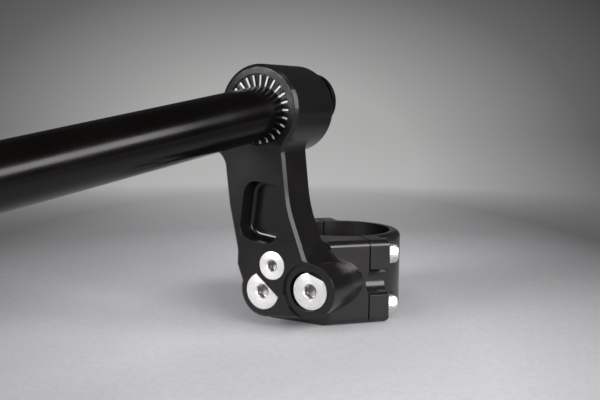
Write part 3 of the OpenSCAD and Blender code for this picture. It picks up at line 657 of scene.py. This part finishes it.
def from_glow(tree, where):
    """Distance from the glow's middle as seen from STAND, in widths and heights of the glow:
    across, it is how far the level line of sight is from AWAY, and upwards, how far the line
    rises above GLOW_RISE or falls below it."""
    aim = vector(tree, "NORMALIZE", vector(tree, "SUBTRACT", where, STAND))
    level = vector(tree, "NORMALIZE", vector(tree, "MULTIPLY", aim, (1, 1, 0)))
    across_glow = number(tree, "DIVIDE", vector(tree, "DISTANCE", level, AWAY, "Value"),
                         GLOW_ACROSS)
    rise = add(tree, "ShaderNodeSeparateXYZ", _0=aim).outputs["Z"]
    off = number(tree, "ABSOLUTE", number(tree, "SUBTRACT", rise, GLOW_RISE))
    pair = add(tree, "ShaderNodeCombineXYZ", _0=across_glow,
               _1=number(tree, "DIVIDE", off, GLOW_TALL)).outputs[0]
    return vector(tree, "LENGTH", pair, out="Value")


def from_pool(tree, where):
    """Distance from the pool's middle, in half widths and half lengths of the pool."""
    offset = vector(tree, "SUBTRACT", where, POOL)
    spot = add(tree, "ShaderNodeCombineXYZ",
               _0=vector(tree, "DOT_PRODUCT", offset, SIDE / POOL_ACROSS, "Value"),
               _1=vector(tree, "DOT_PRODUCT", offset, AWAY / POOL_ALONG, "Value")).outputs[0]
    return vector(tree, "LENGTH", spot, out="Value")


def paper_finish():
    """Pale paper with a fibre in its tone, darker outside the pool. The glow's strength is a
    curve of the distance from its middle, and it fades out towards the part, where the lamps
    alone light the floor. Beside and behind the photographer the paper is a plain pale grey."""
    material, tree, shader = new_material("paper", Roughness=0.85, Specular_IOR_Level=0.2)
    where = place(tree)
    tone = between(tree, noise(tree, where, 520, 5, 0.75), (0.455, 0.464, 0.468),
                   (0.690, 0.702, 0.707))
    middle = from_glow(tree, where)
    lit = number(tree, "MAXIMUM", spread_to(tree, from_pool(tree, where), 1.0, 0.20, 0.35, 1.20),
                 spread_to(tree, middle, 0.20, 0.45, 1.6, 3.0))
    curve = add(tree, "ShaderNodeValToRGB", _0=number(tree, "DIVIDE", middle, GLOW_REACH))
    ramp = curve.color_ramp
    while len(ramp.elements) < len(GLOW):
        ramp.elements.new(0.5)
    for stop, (at, strength) in zip(ramp.elements, GLOW):
        stop.position, stop.color = at / GLOW_REACH, (strength, strength, strength, 1)
    far = vector(tree, "LENGTH", vector(tree, "MULTIPLY", where, (1, 1, 0)), out="Value")
    path = add(tree, "ShaderNodeLightPath").outputs
    mirrored = number(tree, "MULTIPLY", path["Is Glossy Ray"],
                      number(tree, "LESS_THAN", middle, GLOW_EDGE))
    seen = number(tree, "MAXIMUM", path["Is Camera Ray"], mirrored)
    faded = number(tree, "MULTIPLY", spread_to(tree, far, 0, 1, *GLOW_FADE), seen)
    shader.inputs["Emission Color"].default_value = (0.985, 1.0, 0.975, 1)
    feed(tree, shader, Base_Color=shaded(tree, tone, lit),
         Emission_Strength=number(tree, "MULTIPLY", faded, curve.outputs[0]))
    return material


paper.data.materials.append(paper_finish())
print("glow stops:", len(GLOW), "out to", GLOW_REACH, "glow widths")

# %% [markdown]
# ## Lamps
# Black parts show little but reflections, so each lamp is placed for the reflection that it
# makes. The key light, low at the right, shows in the clamp's front, the arm's right side and
# the cap screws. A smaller lamp at the left shows in every face that points out of the arm, and
# in the three screw heads there. One behind at the right draws the long streak on the bar, and
# a large one above only fills the shadows. Point lamps would be simpler, but their reflections
# would be small hard spots.

# %% Lamps
def lamp(name, azimuth, elevation, distance, size, power, size_y=None):
    """A rectangular area lamp, aimed at the part. Azimuth is counted from straight in front
    (-Y) towards +X."""
    a, e = np.radians([azimuth, elevation])
    aim = Vector((0, -0.06, 0.04))
    direction = Vector((np.sin(a) * np.cos(e), -np.cos(a) * np.cos(e), np.sin(e)))
    light = bpy.data.lights.new(name, "AREA")
    light.shape, light.size, light.size_y = "RECTANGLE", size, size_y or size
    light.energy, light.color = power, (1.0, 0.968, 0.992)
    made = bpy.data.objects.new(name, light)
    made.matrix_world = Matrix.Translation(aim + direction * distance) @ (
        direction.to_track_quat("Z", "Y").to_matrix().to_4x4())
    bpy.context.scene.collection.objects.link(made)
    return made


lamps = [lamp("key", 64, 20, 1.2, 0.9, 14, size_y=0.75),
         lamp("front_left", -25, 18, 1.3, 0.5, 18),
         lamp("front_top", 8, 52, 1.5, 1.1, 6),
         lamp("right_rear", 109, 26, 1.3, 0.6, 8, size_y=0.38)]
world = bpy.data.worlds.new("studio")
world.use_nodes = True
world.node_tree.nodes["Background"].inputs["Color"].default_value = (0.75, 0.76, 0.78, 1)
world.node_tree.nodes["Background"].inputs["Strength"].default_value = 0.03
bpy.context.scene.world = world
bpy.context.scene.view_settings.view_transform = "Standard"
print("lamps:", [made.name for made in lamps])

# %% [markdown]
# ## Camera
# The camera was found from the photograph together with the part's sizes: from that place, at
# that focal length, the CAD's edges fall on the photograph's edges.

# %% The camera of the photograph
a, e, r = VIEW
back = np.array([np.sin(a) * np.cos(e), -np.cos(a) * np.cos(e), np.sin(e)])
right = np.array([np.cos(a), np.sin(a), 0])
upward = np.cross(back, right)
lens = bpy.data.cameras.new("camera")
lens.lens, lens.sensor_width = 53.14, 36.0
lens.clip_start, lens.clip_end = 0.01, 20
camera = bpy.data.objects.new("camera", lens)
placed = np.eye(4)
placed[:3, 0] = np.cos(r) * right + np.sin(r) * upward
placed[:3, 1] = -np.sin(r) * right + np.cos(r) * upward
placed[:3, 2], placed[:3, 3] = back, STAND
camera.matrix_world = Matrix(placed.tolist())
bpy.context.scene.collection.objects.link(camera)
bpy.context.scene.camera = camera
print("camera at", np.round(placed[:3, 3], 4))
